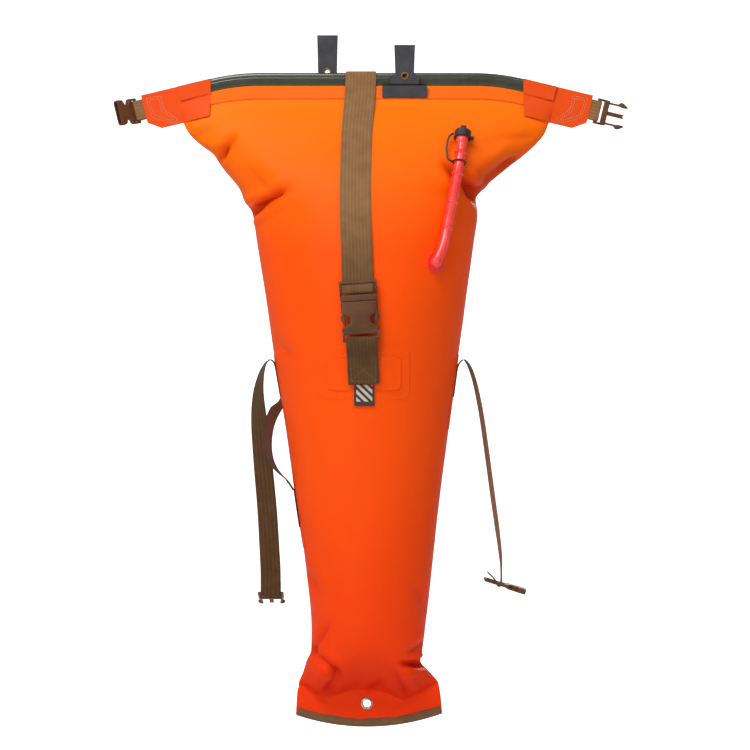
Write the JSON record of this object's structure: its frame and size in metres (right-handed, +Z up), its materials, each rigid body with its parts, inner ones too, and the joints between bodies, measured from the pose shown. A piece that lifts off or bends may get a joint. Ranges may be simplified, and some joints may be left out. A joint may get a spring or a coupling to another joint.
{
  "type": "inflatable dry bag",
  "caption": "Tapered inflatable dry bag for a kayak, with a press-to-seal closure, buckled webbing straps, an oral inflation tube, pull tabs and a grommeted hem.",
  "frame": {"origin": "middle of the closure's top edge, where the bag is held up", "axes": "+Z up towards the pull tabs, -Y out of the face with the inflation tube and the buckled centre strap, +X towards the wing with the male buckle"},
  "size_m": [0.6417, 0.2348, 0.8651],
  "materials": {
    "coated_fabric": "orange coated nylon",
    "rail": "olive green polyurethane extrusion",
    "webbing": "coyote brown woven nylon webbing",
    "buckle": "moulded acetal",
    "tab": "dark grey coated fabric",
    "brass": "brass eyelet",
    "nickel": "nickel plated brass grommet",
    "tube": "translucent red polyurethane",
    "cap": "black moulded rubber",
    "label": "woven label",
    "valve": "white moulded valve"
  },
  "bodies": {
    "bag": {"front_panel": "coated_fabric", "back_panel": "coated_fabric", "rail_front": "rail", "rail_back": "rail", "header_band_front": "coated_fabric", "header_band_back": "coated_fabric", "wing_left": "coated_fabric", "wing_right": "coated_fabric", "wing_web_left": "webbing", "wing_web_right": "webbing", "center_strap_upper": "webbing", "center_strap_lower": "webbing", "center_buckle_male": "buckle", "center_buckle_female": "buckle", "front_patch": "coated_fabric", "front_patch_top": "coated_fabric", "back_patch": "coated_fabric", "label": "label", "side_patch_left": "coated_fabric", "side_patch_right": "coated_fabric", "left_strap_anchor": "webbing", "right_strap_anchor": "webbing", "handle": "webbing", "handle_anchor": "webbing", "hem_tape": "webbing", "grommet_eyelet": "nickel", "grommet_washer": "nickel", "tube_foot": "tube", "front_tab_base": "tab", "back_tab_base": "tab"},
    "center_prong_left": {"center_buckle_male_prong_lower": "buckle"},
    "center_prong_right": {"center_buckle_male_prong_upper": "buckle"},
    "wing_male": {"wing_buckle_male": "buckle"},
    "wing_male_prong_top": {"wing_buckle_male_prong_upper": "buckle"},
    "wing_male_prong_bottom": {"wing_buckle_male_prong_lower": "buckle"},
    "wing_female": {"wing_buckle_female": "buckle"},
    "left_strap": {"left_strap": "webbing"},
    "left_male": {"left_buckle_male": "buckle"},
    "left_male_prong_inner": {"left_buckle_male_prong_upper": "buckle"},
    "left_male_prong_outer": {"left_buckle_male_prong_lower": "buckle"},
    "right_strap": {"right_strap": "webbing"},
    "right_female": {"right_buckle_female": "buckle"},
    "inflation_tube": {"inflation_tube": "tube", "tether_ring": "cap", "cap_tether": "cap", "valve_seat": "valve"},
    "tube_cap": {"tube_cap": "cap"},
    "valve_poppet": {"valve_poppet": "valve"},
    "front_tab": {"front_tab": "tab", "front_tab_eyelet": "brass"},
    "back_tab": {"back_tab": "tab", "back_tab_eyelet": "brass"}
  },
  "joints": [
    {"name": "center_prong_left_flex", "type": "hinge", "parent": "bag", "child": "center_prong_left", "pos_m": [-0.02889, -0.118, -0.287], "axis": [0, -1, 0], "range_deg": [0, 7], "stiffness_Nm_per_rad": 0.25},
    {"name": "center_prong_right_flex", "type": "hinge", "parent": "bag", "child": "center_prong_right", "pos_m": [0.00971, -0.118, -0.2843], "axis": [0, 1, 0], "range_deg": [0, 7], "stiffness_Nm_per_rad": 0.25},
    {"name": "wing_male_swing", "type": "hinge", "parent": "bag", "child": "wing_male", "pos_m": [0.28759, 0, -0.04746], "axis": [0.2334, 0, 0.9724], "range_deg": [-90, 90]},
    {"name": "wing_male_prong_top_flex", "type": "hinge", "parent": "wing_male", "child": "wing_male_prong_top", "pos_m": [0.30089, 0, -0.03748], "axis": [0, 1, 0], "range_deg": [0, 7], "stiffness_Nm_per_rad": 0.25},
    {"name": "wing_male_prong_bottom_flex", "type": "hinge", "parent": "wing_male", "child": "wing_male_prong_bottom", "pos_m": [0.29491, 0, -0.06238], "axis": [0, -1, 0], "range_deg": [0, 7], "stiffness_Nm_per_rad": 0.25},
    {"name": "wing_female_swing", "type": "hinge", "parent": "bag", "child": "wing_female", "pos_m": [-0.28759, 0, -0.04746], "axis": [-0.2334, 0, 0.9724], "range_deg": [-130, 40]},
    {"name": "left_strap_swing", "type": "hinge", "parent": "bag", "child": "left_strap", "pos_m": [-0.12147, 0, -0.3582], "axis": [0, 1, 0], "range_deg": [-2, 80]},
    {"name": "left_male_swing", "type": "hinge", "parent": "left_strap", "child": "left_male", "pos_m": [-0.121, 0.019, -0.652], "axis": [1, 0, 0], "range_deg": [-60, 50]},
    {"name": "left_male_prong_inner_flex", "type": "hinge", "parent": "left_male", "child": "left_male_prong_inner", "pos_m": [-0.1082, 0.03704, -0.65857], "axis": [0, 0.342, 0.9397], "range_deg": [0, 7], "stiffness_Nm_per_rad": 0.25},
    {"name": "left_male_prong_outer_flex", "type": "hinge", "parent": "left_male", "child": "left_male_prong_outer", "pos_m": [-0.1338, 0.03704, -0.65857], "axis": [0, -0.342, -0.9397], "range_deg": [0, 7], "stiffness_Nm_per_rad": 0.25},
    {"name": "right_strap_swing", "type": "hinge", "parent": "bag", "child": "right_strap", "pos_m": [0.12147, 0, -0.3582], "axis": [0, -1, 0], "range_deg": [-2, 80]},
    {"name": "right_female_swing", "type": "hinge", "parent": "right_strap", "child": "right_female", "pos_m": [0.1649, 0, -0.638], "axis": [0, 1, 0], "range_deg": [-30, 10]},
    {"name": "tube_lift", "type": "hinge", "parent": "bag", "child": "inflation_tube", "pos_m": [0.084, -0.09336, -0.24], "axis": [1, 0, 0], "range_deg": [0, 70], "stiffness_Nm_per_rad": 0.02},
    {"name": "cap_pull", "type": "slide", "parent": "inflation_tube", "child": "tube_cap", "axis": [0.0992, 0.4393, 0.8928], "range_m": [0, 0.014]},
    {"name": "poppet_press", "type": "slide", "parent": "inflation_tube", "child": "valve_poppet", "axis": [-0.0992, -0.4393, -0.8928], "range_m": [0, 0.0025], "stiffness_N_per_m": 200},
    {"name": "front_tab_fold", "type": "hinge", "parent": "bag", "child": "front_tab", "pos_m": [0.047, -0.0081, -0.0135], "axis": [1, 0, 0], "range_deg": [0, 85], "stiffness_Nm_per_rad": 0.02},
    {"name": "back_tab_fold", "type": "hinge", "parent": "bag", "child": "back_tab", "pos_m": [-0.0495, 0.0081, -0.0135], "axis": [-1, 0, 0], "range_deg": [0, 85], "stiffness_Nm_per_rad": 0.02}
  ]
}
